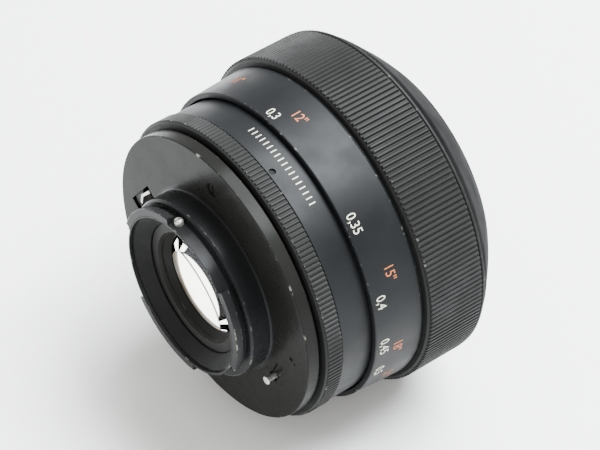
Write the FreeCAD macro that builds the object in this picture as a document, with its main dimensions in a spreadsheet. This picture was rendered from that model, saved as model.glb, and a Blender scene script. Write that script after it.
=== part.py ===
import FreeCAD, Part

import math
import os

import Sketcher

# A prime lens for a single-lens reflex camera, lying with its optical axis along Y.
# Every part is drawn in lens coordinates and then turned half round by its Placement:
#   y  station along the optical axis, 0 at the mount face, positive toward the front glass
#   r  radius from the optical axis
#   clock  angle in degrees round the axis, 0 at the top, clockwise as seen from the camera body
# After the turn the front of the lens points to -Y and the bayonet to +Y.

Vector = FreeCAD.Vector
Rotation = FreeCAD.Rotation

LENS_FRAME = FreeCAD.Placement(Vector(0, 0, 0), Rotation(Vector(0, 0, 1), 180))

SIZES = {
    # Mount plate and bayonet
    "plate_radius": 30.3,
    "plate_front": 2.7,
    "plate_edge_break": 0.3,
    "collar_radius": 19.8,
    "spigot_radius": 18.95,
    "spigot_length": 4.38,
    "neck_radius": 17.1,
    "tube_bore_radius": 16.63,
    "tube_length": 7.75,
    "lug_radius": 18.45,
    "lug_thickness": 1.55,
    "lug_span": 61.0,
    "lug_clock": 79.0,
    "stop_screw_radius": 0.9,
    "stop_screw_clock": -6.2,
    "stop_screw_station": -5.95,
    "flange_screw_circle": 24.4,
    "flange_screw_clock": 1.7,
    "flange_screw_head": 1.3,
    "flange_screw_shank": 0.85,
    "flange_screw_sink": 1.1,
    "window_radius": 26.7,
    "window_clock": -87.9,
    "window_lean": 36.1,
    "window_width": 4.6,
    "window_height": 9.4,
    "pocket_rear": 0.35,
    "lever_pocket_inner": 20.6,
    "lever_pocket_outer": 27.1,
    "lever_pocket_span": 44.0,
    "lever_pocket_clock": -83.0,
    "pin_slot_inner": 21.4,
    "pin_slot_outer": 23.4,
    "pin_slot_span": 14.6,
    "pin_slot_clock": 114.4,
    "pin_pocket_inner": 20.7,
    "pin_pocket_outer": 24.3,
    "pin_pocket_span": 34.0,
    "pin_pocket_clock": 114.5,
    "detent_circle": 29.25,
    "detent_clock": 150.0,
    "detent_ball_radius": 0.5,
    "baffle_mouth_radius": 16.3,
    "baffle_throat_radius": 13.9,
    # Aperture ring
    "aperture_rear": 3.4,
    "aperture_front": 7.1,
    "aperture_rear_radius": 31.45,
    "aperture_radius": 31.8,
    "aperture_rib_depth": 0.25,
    "aperture_bore": 28.8,
    # Fixed index ring and the tube the barrel slides in
    "index_rear": 7.3,
    "index_web_front": 9.4,
    "index_front": 16.0,
    "index_radius": 31.5,
    "index_bore": 30.3,
    "guide_bore": 27.0,
    "guide_radius": 28.5,
    "guide_front": 22.0,
    "set_screw_radius": 0.7,
    "set_screw_station": 8.3,
    "set_screw_clock": 15.8,
    "key_width": 3.0,
    "key_rear": 10.0,
    "key_front": 20.0,
    "key_depth": 0.9,
    # Focus ring: scale sleeve, grip and threaded ring
    "sleeve_rear": 14.1,
    "sleeve_front": 25.0,
    "sleeve_rear_radius": 32.9,
    "sleeve_front_radius": 33.5,
    "sleeve_bore": 31.9,
    "sleeve_web": 17.0,
    "thread_ring_radius": 29.9,
    "thread_ring_bore": 28.8,
    "thread_ring_rear": 9.8,
    "thread_bore": 27.0,
    "thread_rear": 22.4,
    "thread_front": 30.0,
    "grip_rear": 25.5,
    "grip_web_front": 27.2,
    "grip_front": 39.2,
    "grip_radius": 35.2,
    "grip_rib_depth": 0.4,
    "grip_bore": 33.9,
    "grip_bead": 0.7,
    "rib_count": 200.0,
    "focus_turn": 288.0,
    "focus_stop_clock": 192.8,
    # Sliding barrel and front bezel
    "skirt_radius": 26.7,
    "skirt_bore": 25.4,
    "skirt_rear": 12.0,
    "barrel_radius": 22.6,
    "barrel_bore": 21.5,
    "barrel_rear": 6.0,
    "barrel_web_rear": 32.0,
    "barrel_web_front": 33.5,
    "barrel_front": 40.4,
    "barrel_front_bore": 23.3,
    "bezel_skirt_rear": 30.0,
    "bezel_skirt_radius": 33.5,
    "bezel_skirt_bore": 32.3,
    "bezel_web_rear": 35.0,
    "bezel_rear": 39.4,
    "bezel_radius": 34.6,
    "bezel_front": 47.4,
    "bezel_nose_radius": 26.2,
    "filter_radius": 24.5,
    "filter_depth": 4.2,
    # Cells and rings that hold the glass
    "name_ring_inner": 18.7,
    "name_ring_rear": 40.6,
    "front_cell_radius": 21.4,
    "rear_cell_radius": 13.5,
    "rear_cell_rear": -4.2,
    "rear_cell_flange": 14.9,
    "rear_ring_radius": 13.0,
    "rear_ring_mouth": 12.0,
    "rear_ring_throat": 10.6,
    # Iris
    "iris_rear": 18.8,
    "iris_floor": 19.8,
    "iris_wall": 18.95,
    "iris_front": 23.6,
    "iris_opening": 9.3,
    "blade_count": 6.0,
    "blade_pivot_circle": 13.5,
    "blade_arm": 4.4,
    "blade_swing": 34.0,
    "blade_inner": 9.4,
    "blade_outer": 12.8,
    "blade_thickness": 0.14,
    "blade_pitch": 0.24,
    "blade_pin": 0.4,
    "drive_ring_rear": 21.7,
    "drive_ring_thickness": 0.7,
    "drive_ring_radius": 18.7,
    "drive_ring_bore": 14.6,
    # Levers behind the mount plate
    "lever_rear": 2.9,
    "lever_thickness": 0.45,
    "lever_inner": 21.0,
    "lever_outer": 26.2,
    "lever_span": 52.0,
    "lever_clock": -79.0,
    "pad_rear": 0.45,
    "pad_inner": 23.95,
    "pad_span": 17.0,
    "pad_clock": -81.0,
    "prong_inner": 23.3,
    "prong_outer": 23.87,
    "prong_tip": 0.04,
    "prong_span": 5.5,
    "prong_clock": -82.25,
    "bend_clock": -79.48,
    "bend_lean": 40.1,
    "bend_height": 4.0,
    "cam_ring_rear": 3.75,
    "cam_ring_thickness": 0.7,
    "cam_ring_inner": 21.0,
    "cam_ring_outer": 24.4,
    "meter_pin_circle": 22.4,
    "meter_pin_clock": 118.9,
    "meter_pin_neck": 0.6,
    "meter_pin_head": 0.92,
    "meter_pin_tip": -2.05,
    "slot_cover_inner": 21.0,
    "slot_cover_outer": 24.0,
    "slot_cover_span": 23.4,
    "slot_cover_clock": 118.6,
}


class Size:
    """A driving dimension or an arithmetic mix of them: its value and its sheet expression."""

    def __init__(self, value, text):
        self.value = float(value)
        self.text = text

    def __add__(self, other):
        other = size(other)
        return Size(self.value + other.value, f"({self.text} + {other.text})")

    def __sub__(self, other):
        other = size(other)
        return Size(self.value - other.value, f"({self.text} - {other.text})")

    def __mul__(self, other):
        other = size(other)
        return Size(self.value * other.value, f"({self.text} * {other.text})")

    def __neg__(self):
        return Size(-self.value, f"(0 - {self.text})")

    def __getattr__(self, name):
        raise AttributeError(name)


def size(number):
    """A Size from a Size or a plain number."""
    if isinstance(number, Size):
        return number
    return Size(number, repr(float(number)))


class Sheet:
    """The spreadsheet of driving dimensions; each one is read back as an attribute."""

    def __init__(self, document, sizes):
        sheet = document.addObject("Spreadsheet::Sheet", "Sizes")
        for row, (name, number) in enumerate(sizes.items(), start=1):
            sheet.set(f"A{row}", name)
            sheet.set(f"B{row}", str(number))
            sheet.setAlias(f"B{row}", name)
        document.recompute()
        for name in sizes:
            setattr(self, name, Size(sheet.get(name), f"Sizes.{name}"))


doc = FreeCAD.newDocument("prime_lens")
d = Sheet(doc, SIZES)
parts = []


# ---------------------------------------------------------------- helpers

def spot(radius, clock, station):
    """The point at a radius, a clock angle and a station."""
    turn = math.radians(clock)
    return Vector(radius * math.sin(turn), station, radius * math.cos(turn))


def forward_placement(radius, clock, station):
    """Places a Z-aligned tool so that it points to the front of the lens."""
    return FreeCAD.Placement(spot(radius, clock, station), Rotation(Vector(1, 0, 0), -90))


def radial_placement(radius, clock, station):
    """Places a Z-aligned tool so that it points away from the optical axis."""
    return FreeCAD.Placement(spot(radius, clock, station), Rotation(Vector(0, 1, 0), clock))


def new_body(label):
    """A body in lens coordinates, turned into the shared frame, that becomes one part."""
    body = doc.addObject("PartDesign::Body", label)
    body.Placement = LENS_FRAME
    parts.append(body)
    return body


def base_plane(body, role):
    """One of the body's own origin planes."""
    for feature in body.Origin.OriginFeatures:
        if feature.Role == role:
            return feature
    raise ValueError(role)


def empty_sketch(body, name, clock=None):
    """A sketch in the half plane of the optical axis at a clock angle (90 degrees if none)."""
    sketch = body.newObject("Sketcher::SketchObject", name)
    sketch.AttachmentSupport = [(base_plane(body, "XY_Plane"), "")]
    sketch.MapMode = "FlatFace"
    if clock is not None:
        turn = size(clock) - 90
        sketch.AttachmentOffset = FreeCAD.Placement(Vector(0, 0, 0), Rotation(Vector(0, 1, 0), turn.value))
        sketch.setExpression("AttachmentOffset.Rotation.Angle", turn.text)
    return sketch


def bind(sketch, constraint, expression):
    """Adds a dimension to a sketch and ties it to the sheet."""
    index = sketch.addConstraint(constraint)
    sketch.setExpression(f"Constraints[{index}]", expression.text)


def fix_point(sketch, geometry, end, radius, station):
    """Ties a sketch point to a radius and a station."""
    if radius.value == 0:
        sketch.addConstraint(Sketcher.Constraint("PointOnObject", geometry, end, -2))
    else:
        bind(sketch, Sketcher.Constraint("DistanceX", -1, 1, geometry, end, radius.value), radius)
    if station.value == 0:
        sketch.addConstraint(Sketcher.Constraint("PointOnObject", geometry, end, -1))
    else:
        bind(sketch, Sketcher.Constraint("DistanceY", -1, 1, geometry, end, station.value), station)


def outline_sketch(body, name, corners, clock=None):
    """A closed outline through (radius, station) corners."""
    sketch = empty_sketch(body, name, clock)
    corners = [(size(radius), size(station)) for radius, station in corners]
    points = [Vector(radius.value, station.value, 0) for radius, station in corners]
    count = len(points)
    for index in range(count):
        sketch.addGeometry(Part.LineSegment(points[index], points[(index + 1) % count]))
    for index in range(count):
        sketch.addConstraint(Sketcher.Constraint("Coincident", index, 2, (index + 1) % count, 1))
    for index, (radius, station) in enumerate(corners):
        fix_point(sketch, index, 1, radius, station)
    return sketch


def sweep_profile(body, kind, name, sketch, span):
    """Turns a sketch about the optical axis, centred on its own half plane if not a full turn."""
    feature = body.newObject(f"PartDesign::{kind}", name)
    feature.Profile = sketch
    feature.ReferenceAxis = (sketch, ["V_Axis"])
    feature.Angle = size(span).value
    if size(span).value < 360:
        feature.Midplane = True
        feature.setExpression("Angle", size(span).text)
    return feature


def add_ring(body, name, corners, span=360, clock=None):
    """Adds a ring, or a sector of one centred on a clock angle."""
    sketch = outline_sketch(body, f"{name}_outline", corners, clock)
    return sweep_profile(body, "Revolution", name, sketch, span)


def cut_ring(body, name, corners, span=360, clock=None):
    """Cuts a ring, or a sector of one centred on a clock angle."""
    sketch = outline_sketch(body, f"{name}_outline", corners, clock)
    return sweep_profile(body, "Groove", name, sketch, span)


def box_corners(inner, outer, rear, front):
    """The four corners of a plain ring section."""
    return [(inner, rear), (outer, rear), (outer, front), (inner, front)]


def ring_part(label, corners):
    """A part that is one turned ring."""
    body = new_body(label)
    add_ring(body, f"{label}_turning", corners)
    return body


def primitive_feature(body, kind, name, placement, **sizes):
    """Adds or cuts a Part Design block or cylinder standing at a placement."""
    feature = body.newObject(f"PartDesign::{kind}", name)
    feature.AttachmentSupport = [(base_plane(body, "XY_Plane"), "")]
    feature.MapMode = "FlatFace"
    feature.AttachmentOffset = placement
    for key, amount in sizes.items():
        setattr(feature, key, size(amount).value)
        feature.setExpression(key, size(amount).text)
    return feature


def cylinder_feature(body, kind, name, radius, length, placement):
    """Adds or cuts a cylinder standing at a placement."""
    return primitive_feature(body, f"{kind}Cylinder", name, placement, Radius=radius, Height=length)


def box_feature(body, kind, name, corner, length, width, height):
    """Adds or cuts a block that grows from a corner placement along its X, Y and Z."""
    return primitive_feature(body, f"{kind}Box", name, corner, Length=length, Width=width, Height=height)


def leaning_corner(radius, clock, station, lean):
    """The corner placement of a block turned about the optical axis."""
    return FreeCAD.Placement(spot(radius.value, clock.value, station), Rotation(Vector(0, 1, 0), lean.value))


def lens_part(label, rim, front, front_radius, rear, rear_radius):
    """A glass element: vertex stations and surface radii, a positive radius bulging outward."""
    body = new_body(label)
    sketch = empty_sketch(body, f"{label}_section")
    rim, front, rear = size(rim), size(front), size(rear)
    front_radius, rear_radius = size(front_radius), size(rear_radius)
    surfaces = []
    for vertex, curve, outward in ((front, front_radius, 1), (rear, rear_radius, -1)):
        bulge = outward * (1 if curve.value > 0 else -1)
        reach = abs(curve.value)
        centre = vertex.value - bulge * reach
        edge = math.asin(rim.value / reach)
        if bulge > 0:
            angles = (math.pi / 2 - edge, math.pi / 2)
        else:
            angles = (-math.pi / 2, -math.pi / 2 + edge)
        circle = Part.Circle(Vector(0, centre, 0), Vector(0, 0, 1), reach)
        arc = sketch.addGeometry(Part.ArcOfCircle(circle, *angles))
        surfaces.append((arc, 2 if bulge > 0 else 1, 1 if bulge > 0 else 2, vertex, curve))
    ends = []
    for arc, vertex_end, rim_end, vertex, curve in surfaces:
        rim_station = sketch.getPoint(arc, rim_end).y
        ends.append((vertex.value, rim_station))
        sketch.addConstraint(Sketcher.Constraint("PointOnObject", arc, 3, -2))
        fix_point(sketch, arc, vertex_end, size(0), vertex)
        magnitude = curve if curve.value > 0 else -curve
        bind(sketch, Sketcher.Constraint("Radius", arc, magnitude.value), magnitude)
        bind(sketch, Sketcher.Constraint("DistanceX", -1, 1, arc, rim_end, rim.value), rim)
    rim_line = Part.LineSegment(Vector(rim.value, ends[0][1], 0), Vector(rim.value, ends[1][1], 0))
    axis_line = Part.LineSegment(Vector(0, ends[1][0], 0), Vector(0, ends[0][0], 0))
    rim_edge = sketch.addGeometry(rim_line)
    axis_edge = sketch.addGeometry(axis_line)
    (front_arc, front_vertex, front_rim), (rear_arc, rear_vertex, rear_rim) = [s[:3] for s in surfaces]
    sketch.addConstraint(Sketcher.Constraint("Coincident", front_arc, front_rim, rim_edge, 1))
    sketch.addConstraint(Sketcher.Constraint("Coincident", rim_edge, 2, rear_arc, rear_rim))
    sketch.addConstraint(Sketcher.Constraint("Coincident", rear_arc, rear_vertex, axis_edge, 1))
    sketch.addConstraint(Sketcher.Constraint("Coincident", axis_edge, 2, front_arc, front_vertex))
    sweep_profile(body, "Revolution", f"{label}_turning", sketch, 360)
    return body


def primitive(kind, name, placement, **amounts):
    """A Part box, cylinder, cone or sphere with its sizes tied to the sheet."""
    solid = doc.addObject(f"Part::{kind}", name)
    for key, amount in amounts.items():
        setattr(solid, key, size(amount).value)
        solid.setExpression(key, size(amount).text)
    solid.Placement = placement
    return solid


def union(name, solids):
    """One object made of several solids."""
    joined = doc.addObject("Part::MultiFuse", name)
    joined.Shapes = solids
    return joined


def grouped_part(label, solids):
    """A part made of several identical pieces."""
    group = doc.addObject("Part::Compound", label)
    group.Links = solids
    group.Placement = LENS_FRAME
    parts.append(group)
    return group


def screw(name, placement, head, shank, head_height, length):
    """A cheese-head screw along a placement's Z axis, head at the origin, with a slot."""
    head_solid = primitive("Cylinder", f"{name}_head", placement, Radius=head, Height=head_height)
    shank_solid = primitive("Cylinder", f"{name}_shank", placement, Radius=shank, Height=length)
    whole = union(f"{name}_blank", [head_solid, shank_solid])
    slot_width = head.value * 0.25
    slot_corner = Vector(-slot_width / 2, -head.value - 0.1, -0.1)
    corner = placement.multiply(FreeCAD.Placement(slot_corner, Rotation()))
    slot = primitive("Box", f"{name}_slot", corner,
                     Length=head * 0.25, Width=head * 2 + 0.2, Height=head_height * 0.45 + 0.1)
    cut = doc.addObject("Part::Cut", name)
    cut.Base = whole
    cut.Tool = slot
    return cut


def solid_part(label, shape):
    """A part whose outline repeats too many times for a sketch; sizes come from the sheet."""
    feature = doc.addObject("Part::Feature", label)
    feature.Shape = shape
    feature.Placement = LENS_FRAME
    parts.append(feature)
    return feature


def turned_shape(corners):
    """A ring turned from (radius, station) values."""
    points = [Vector(radius, station, 0) for radius, station in corners]
    face = Part.Face(Part.makePolygon(points + points[:1]))
    return face.revolve(Vector(0, 0, 0), Vector(0, 1, 0), 360)


def ribbed_band(radius, depth, bore, rear, front, is_ribbed):
    """A ring with axial ribs: flat crests at the radius, floors one depth lower."""
    count = int(d.rib_count.value)
    pitch = 360.0 / count
    outline = []
    for index in range(count):
        clock = index * pitch
        if is_ribbed(clock):
            floor = radius - depth
            for share, reach in ((0.06, radius), (0.60, radius), (0.70, floor), (0.96, floor)):
                outline.append(spot(reach, clock + share * pitch, rear))
        else:
            for share in (0.06, 0.53):
                outline.append(spot(radius, clock + share * pitch, rear))
    outer = Part.makePolygon(outline + outline[:1])
    inner = Part.Wire(Part.makeCircle(bore, Vector(0, rear, 0), Vector(0, 1, 0)))
    face = Part.Face([outer, inner], "Part::FaceMakerBullseye")
    return face.extrude(Vector(0, front - rear, 0))


# ---------------------------------------------------------------- mount barrel, the fixed body

def flange_screw_clocks():
    """Three flange screws, clear of the lever window and the pin slot."""
    return [d.flange_screw_clock + turn for turn in (0, 180, 240)]


plate = ring_part("flange_plate", [
    (d.collar_radius, 0), (d.plate_radius - d.plate_edge_break, 0),
    (d.plate_radius, d.plate_edge_break), (d.plate_radius, d.plate_front), (d.collar_radius, d.plate_front)])
past_plate = d.plate_front + 1
window_corner = leaning_corner(d.window_radius, d.window_clock, -1, d.window_lean)
box_feature(plate, "Subtractive", "lever_window", window_corner, d.window_width, 3, d.window_height)
cut_ring(plate, "lever_pocket",
         box_corners(d.lever_pocket_inner, d.lever_pocket_outer, d.pocket_rear, past_plate),
         d.lever_pocket_span, d.lever_pocket_clock)
cut_ring(plate, "meter_pin_slot", box_corners(d.pin_slot_inner, d.pin_slot_outer, -1, past_plate),
         d.pin_slot_span, d.pin_slot_clock)
cut_ring(plate, "meter_pin_pocket",
         box_corners(d.pin_pocket_inner, d.pin_pocket_outer, d.pocket_rear, past_plate),
         d.pin_pocket_span, d.pin_pocket_clock)
for index, clock in enumerate(flange_screw_clocks()):
    sink = forward_placement(d.flange_screw_circle.value, clock.value, -1)
    cylinder_feature(plate, "Subtractive", f"screw_sink_{index}", d.flange_screw_head + 0.15,
                     d.flange_screw_sink + 1, sink)
    cylinder_feature(plate, "Subtractive", f"screw_hole_{index}", d.flange_screw_shank, 6, sink)
TOOLING_HOLES = ((0.45, 25.05, 93.3), (0.28, 26.2, 94.5))
for index, (bore, radius, clock) in enumerate(TOOLING_HOLES):
    hole = forward_placement(radius, clock, -1)
    cylinder_feature(plate, "Subtractive", f"tooling_hole_{index}", bore, 2.2, hole)

tube = ring_part("bayonet_tube", [
    (d.tube_bore_radius, -d.tube_length), (d.neck_radius, -d.tube_length),
    (d.neck_radius, -d.spigot_length - 0.35), (d.spigot_radius - 0.35, -d.spigot_length - 0.35),
    (d.spigot_radius, -d.spigot_length), (d.spigot_radius, 0),
    (d.collar_radius, 0), (d.collar_radius, d.plate_front), (d.tube_bore_radius, d.plate_front)])
for index in range(3):
    add_ring(tube, f"lug_{index}",
             box_corners(d.neck_radius - 0.3, d.lug_radius, -d.tube_length, d.lug_thickness - d.tube_length),
             d.lug_span, d.lug_clock + 120 * (index - 1))


def stop_screw_seat(radius):
    """A radial placement on the stop screw's own line."""
    return radial_placement(radius, d.stop_screw_clock.value, d.stop_screw_station.value)


cylinder_feature(tube, "Subtractive", "stop_screw_hole", 0.4, 3,
                 stop_screw_seat(d.tube_bore_radius.value - 0.5))
stop_screw = new_body("bayonet_stop_screw")
cylinder_feature(stop_screw, "Additive", "shank", 0.4, 0.8, stop_screw_seat(d.tube_bore_radius.value + 0.05))
cylinder_feature(stop_screw, "Additive", "head", d.stop_screw_radius, 1.2,
                 stop_screw_seat(d.neck_radius.value))

grouped_part("flange_screws", [
    screw(f"flange_screw_{index}",
          forward_placement(d.flange_screw_circle.value, clock.value, d.flange_screw_sink.value - 0.85),
          d.flange_screw_head, d.flange_screw_shank - 0.05, size(0.8), size(2.2))
    for index, clock in enumerate(flange_screw_clocks())])

ring_part("rear_light_baffle", [
    (d.baffle_mouth_radius, -7.0), (d.tube_bore_radius, -7.0), (d.tube_bore_radius, -3.0),
    (d.baffle_throat_radius, -3.0), (d.baffle_throat_radius, -4.7)])

guide = ring_part("guide_tube", box_corners(d.guide_bore, d.guide_radius, d.plate_front, d.guide_front))

index_ring = ring_part("index_ring", [
    (d.guide_radius, d.index_rear), (d.index_radius - 0.25, d.index_rear),
    (d.index_radius, d.index_rear + 0.25), (d.index_radius, d.index_front - 0.3),
    (d.index_radius - 0.3, d.index_front), (d.index_bore, d.index_front),
    (d.index_bore, d.index_web_front), (d.guide_radius, d.index_web_front)])
stop_gap = (Size(360, "360") - d.focus_turn) * 0.5
for index, side in enumerate((1, -1)):
    add_ring(index_ring, f"focus_stop_{index}",
             box_corners(d.index_bore, d.index_radius - 0.3, d.index_front - 0.3, d.index_front + 0.8),
             5, d.focus_stop_clock + (stop_gap - 4.0) * side)


def set_screw_seat(index):
    """A radial placement on the line of one of the three set screws."""
    clock = d.set_screw_clock.value + 120 * index
    return radial_placement(d.guide_radius.value + 0.5, clock, d.set_screw_station.value)


for index in range(3):
    cylinder_feature(index_ring, "Subtractive", f"set_screw_hole_{index}", d.set_screw_radius, 4,
                     set_screw_seat(index))

grouped_part("index_set_screws", [
    primitive("Cylinder", f"index_set_screw_{index}", set_screw_seat(index),
              Radius=d.set_screw_radius - 0.02, Height=2.1)
    for index in range(3)])

key_half = d.key_width.value / 2
key_top = d.guide_bore - 0.05
grouped_part("guide_keys", [
    primitive("Box", f"guide_key_{index}",
              FreeCAD.Placement(Vector(-key_half, d.key_rear.value, low), Rotation()),
              Length=d.key_width, Width=d.key_front - d.key_rear, Height=d.key_depth)
    for index, low in enumerate((key_top.value - d.key_depth.value, -key_top.value))])

def detent_place(station):
    """A forward placement on the click detent's own line."""
    return forward_placement(d.detent_circle.value, d.detent_clock.value, station)


cylinder_feature(plate, "Subtractive", "detent_pocket", d.detent_ball_radius + 0.05, 1.5,
                 detent_place(d.plate_front.value - 1.3))
detent_ball = primitive("Sphere", "detent_ball", FreeCAD.Placement(), Radius=d.detent_ball_radius)
detent_ball.Placement = LENS_FRAME.multiply(detent_place(d.plate_front.value + 0.05))
parts.append(detent_ball)
detent_spring = new_body("detent_spring")
cylinder_feature(detent_spring, "Additive", "coil", d.detent_ball_radius - 0.05, 0.75,
                 detent_place(d.plate_front.value - 1.28))

# ---------------------------------------------------------------- aperture ring

def aperture_rib(clock):
    """Ribs run round the ring except on a thumb pad and under the f-number scale."""
    return not (308 < clock < 336 or 126 < clock < 202)


aperture_band = ribbed_band(
    d.aperture_radius.value, d.aperture_rib_depth.value, d.aperture_bore.value,
    d.aperture_rear.value + 0.35, d.aperture_front.value, aperture_rib)
aperture_foot = turned_shape([
    (d.aperture_bore.value, d.aperture_rear.value),
    (d.aperture_rear_radius.value - 0.15, d.aperture_rear.value),
    (d.aperture_rear_radius.value, d.aperture_rear.value + 0.35),
    (d.aperture_bore.value, d.aperture_rear.value + 0.35)])
solid_part("aperture_ring", aperture_band.fuse(aperture_foot).removeSplitter())

# ---------------------------------------------------------------- levers behind the mount plate

lever = new_body("stop_down_lever")
add_ring(lever, "lever_sector",
         box_corners(d.lever_inner, d.lever_outer, d.lever_rear, d.lever_rear + d.lever_thickness),
         d.lever_span, d.lever_clock)
add_ring(lever, "lever_pad", box_corners(d.pad_inner, d.lever_outer - 0.1, d.pad_rear, d.lever_rear + 0.1),
         d.pad_span, d.pad_clock)
prong = new_body("stop_down_prong")
add_ring(prong, "prong_wall", box_corners(d.prong_inner, d.prong_outer, d.prong_tip, d.lever_rear),
         d.prong_span, d.prong_clock)
bend_corner = leaning_corner(d.prong_outer, d.bend_clock, d.prong_tip.value, d.bend_lean)
box_feature(prong, "Additive", "prong_bend", bend_corner, d.prong_outer - d.prong_inner,
            d.lever_rear - d.prong_tip, d.bend_height)

cam_front = d.cam_ring_rear + d.cam_ring_thickness
cam = ring_part("iris_cam_ring", box_corners(d.cam_ring_inner, d.cam_ring_outer, d.cam_ring_rear, cam_front))
fork = new_body("iris_drive_fork")
for index, side in enumerate((-1, 1)):
    add_ring(fork, f"tine_{index}", box_corners(23.2, 24.4, cam_front, 30.6), 2.2, 270 + side * 3.6)
    add_ring(fork, f"bridge_{index}", box_corners(23.2, 24.4, cam_front, cam_front + 1.2),
             5, 270 + side * 2.2)


def meter_pin_place(station):
    """A forward placement on the meter pin's own line."""
    return forward_placement(d.meter_pin_circle.value, d.meter_pin_clock.value, station)


pin = new_body("meter_pin")
cylinder_feature(pin, "Additive", "neck", d.meter_pin_neck, d.cam_ring_rear - d.meter_pin_tip,
                 meter_pin_place(d.meter_pin_tip.value))
add_ring(pin, "slot_cover", box_corners(d.slot_cover_inner, d.slot_cover_outer, d.pad_rear, d.pad_rear + 0.4),
         d.slot_cover_span, d.slot_cover_clock)
cylinder_feature(pin, "Additive", "head", d.meter_pin_head, 0.5, meter_pin_place(d.meter_pin_tip.value))
cylinder_feature(pin, "Additive", "shoulder", d.meter_pin_head, 0.6,
                 meter_pin_place(d.cam_ring_rear.value - 0.6))

# ---------------------------------------------------------------- focus ring

ring_part("focus_thread_ring", [
    (d.thread_ring_bore, d.thread_ring_rear), (d.thread_ring_radius, d.thread_ring_rear),
    (d.thread_ring_radius, d.thread_front), (d.thread_bore, d.thread_front),
    (d.thread_bore, d.thread_rear), (d.thread_ring_bore, d.thread_rear)])

sleeve = ring_part("focus_sleeve", [
    (d.sleeve_bore, d.sleeve_rear), (d.sleeve_rear_radius - 0.2, d.sleeve_rear),
    (d.sleeve_rear_radius, d.sleeve_rear + 0.2), (d.sleeve_front_radius, d.sleeve_front - 0.25),
    (d.sleeve_front_radius - 0.3, d.sleeve_front), (d.sleeve_front_radius - 0.3, d.grip_rear),
    (d.thread_ring_radius, d.grip_rear), (d.thread_ring_radius, d.sleeve_web),
    (d.sleeve_bore, d.sleeve_web)])

grip_floor = d.grip_radius.value - d.grip_rib_depth.value
grip_ribs = ribbed_band(
    d.grip_radius.value, d.grip_rib_depth.value, d.grip_bore.value,
    d.grip_rear.value + 0.3, d.grip_front.value - d.grip_bead.value, lambda clock: True)
grip_core = turned_shape([
    (d.thread_ring_radius.value, d.grip_rear.value), (grip_floor, d.grip_rear.value),
    (grip_floor, d.grip_rear.value + 0.3), (d.grip_bore.value, d.grip_rear.value + 0.3),
    (d.grip_bore.value, d.grip_web_front.value), (d.thread_ring_radius.value, d.grip_web_front.value)])
grip_bead = turned_shape([
    (d.grip_bore.value, d.grip_front.value - d.grip_bead.value),
    (d.grip_radius.value, d.grip_front.value - d.grip_bead.value),
    (d.grip_radius.value, d.grip_front.value - 0.25),
    (d.grip_radius.value - 0.25, d.grip_front.value), (d.grip_bore.value, d.grip_front.value)])
screw_clocks = [60, 180, 300]
screw_bores = [
    Part.makeCylinder(0.7, 4, spot(31.5, clock, d.sleeve_front.value - 1.5), Vector(0, 1, 0))
    for clock in screw_clocks]
solid_part("focus_grip", grip_ribs.fuse([grip_core, grip_bead]).removeSplitter().cut(screw_bores))
for index, clock in enumerate(screw_clocks):
    cylinder_feature(sleeve, "Subtractive", f"screw_hole_{index}", 0.7, 4,
                     forward_placement(31.5, clock, d.sleeve_front.value - 1.5))

stop_pin = new_body("focus_stop_pin")
stop_pin_clock = d.focus_stop_clock + stop_gap
cylinder_feature(stop_pin, "Additive", "pin", 0.5, 0.7,
                 forward_placement(30.9, stop_pin_clock.value, d.sleeve_web.value - 0.7))

grouped_part("focus_ring_screws", [
    screw(f"focus_ring_screw_{index}",
          forward_placement(31.5, clock, d.grip_web_front.value + 0.8).multiply(
              FreeCAD.Placement(Vector(), Rotation(Vector(1, 0, 0), 180))),
          size(1.2), size(0.68), size(0.8), size(4.2))
    for index, clock in enumerate(screw_clocks)])

# ---------------------------------------------------------------- sliding lens barrel

barrel = ring_part("inner_barrel", [
    (d.barrel_bore, d.barrel_rear), (d.barrel_radius, d.barrel_rear), (d.barrel_radius, d.barrel_web_rear),
    (d.skirt_bore, d.barrel_web_rear), (d.skirt_bore, d.skirt_rear), (d.skirt_radius, d.skirt_rear),
    (d.skirt_radius, d.barrel_front), (d.barrel_front_bore, d.barrel_front),
    (d.barrel_front_bore, d.barrel_web_front), (d.barrel_bore, d.barrel_web_front)])
for index, clock in enumerate((0, 180)):
    cut_ring(barrel, f"keyway_{index}", box_corners(25.9, 28, 11, d.key_front + 2), 7.2, clock)
cut_ring(barrel, "iris_tab_window",
         box_corners(20, 24, d.drive_ring_rear - 0.4,
                     d.drive_ring_rear + d.drive_ring_thickness + 0.4), 20, 266)

nose = ring_part("front_bezel", [
    (d.bezel_skirt_bore, d.bezel_skirt_rear), (d.bezel_skirt_radius, d.bezel_skirt_rear),
    (d.bezel_skirt_radius, d.bezel_rear), (d.bezel_radius, d.bezel_rear), (32.3, 42.1), (29.4, 44.9),
    (d.bezel_nose_radius, d.bezel_front), (d.filter_radius + 0.3, d.bezel_front),
    (d.filter_radius, d.bezel_front - 0.3), (d.filter_radius, d.bezel_front - d.filter_depth + 0.1),
    (d.filter_radius - 0.3, d.bezel_front - d.filter_depth + 0.1), (d.filter_radius - 0.3, d.barrel_front),
    (d.skirt_radius, d.barrel_front), (d.skirt_radius, d.bezel_web_rear),
    (d.bezel_skirt_bore, d.bezel_web_rear)])

ring_part("name_ring", [
    (d.name_ring_inner, d.name_ring_rear), (d.filter_radius - 0.35, d.name_ring_rear),
    (d.filter_radius - 0.35, d.bezel_front - d.filter_depth),
    (d.filter_radius - 1.1, d.bezel_front - d.filter_depth),
    (d.name_ring_inner, d.name_ring_rear + 0.8)])

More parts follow.
